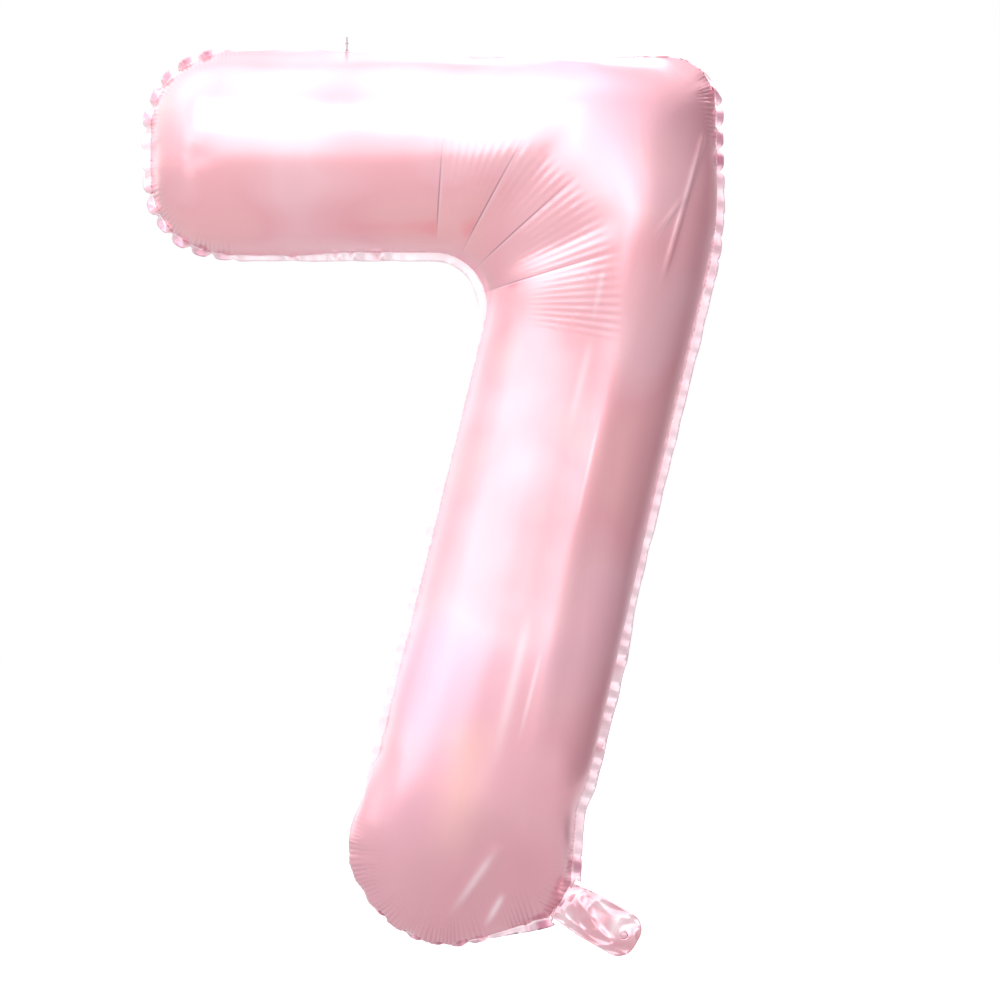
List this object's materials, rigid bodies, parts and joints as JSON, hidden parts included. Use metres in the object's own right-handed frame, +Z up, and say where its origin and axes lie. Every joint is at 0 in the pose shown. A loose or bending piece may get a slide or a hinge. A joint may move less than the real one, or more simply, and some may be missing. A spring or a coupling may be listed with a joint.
{
  "type": "foil number balloon",
  "caption": "Inflated foil balloon in the shape of the digit seven, in pastel pink, with a crimped seam, a filling tail with a flat valve, and a hanging thread.",
  "frame": {"origin": "under the middle of the digit's width and depth, level with the lowest point of the filling tail", "axes": "+Z up the digit, +X to the right as the digit is read, -Y towards the front; the seam lies in the plane Y = 0"},
  "size_m": [0.5612, 0.2156, 0.8823],
  "materials": {
    "pink_foil": "metallised film with a pearly pastel-pink print, mirror-like",
    "foil_weld": "welded and crimped film edge",
    "valve_film": "clear polyethylene film",
    "release_coat": "matt heat-resistant ink",
    "thread": "dark twisted polyester thread"
  },
  "bodies": {
    "balloon": {"front_foil_panel": "pink_foil", "rear_foil_panel": "pink_foil", "perimeter_seal": "foil_weld", "valve_front_film": "valve_film", "valve_rear_film": "valve_film", "valve_side_welds": "valve_film", "valve_release_coat": "release_coat"},
    "filling_tail": {"tail_front_film": "pink_foil", "tail_rear_film": "pink_foil", "tail_edge_welds": "foil_weld", "valve_mouth_front": "valve_film", "valve_mouth_rear": "valve_film", "valve_mouth_welds": "valve_film"},
    "thread": {"hang_thread": "thread"}
  },
  "joints": [
    {"name": "tail_fold", "type": "hinge", "parent": "balloon", "child": "filling_tail", "pos_m": [0.1277, 0, 0.05183], "axis": [0.5, 0, 0.866], "range_deg": [-80, 80]},
    {"name": "thread_swing", "type": "hinge", "parent": "balloon", "child": "thread", "pos_m": [-0.083, 0, 0.86928], "axis": [0, 1, 0], "range_deg": [-40, 40]}
  ]
}
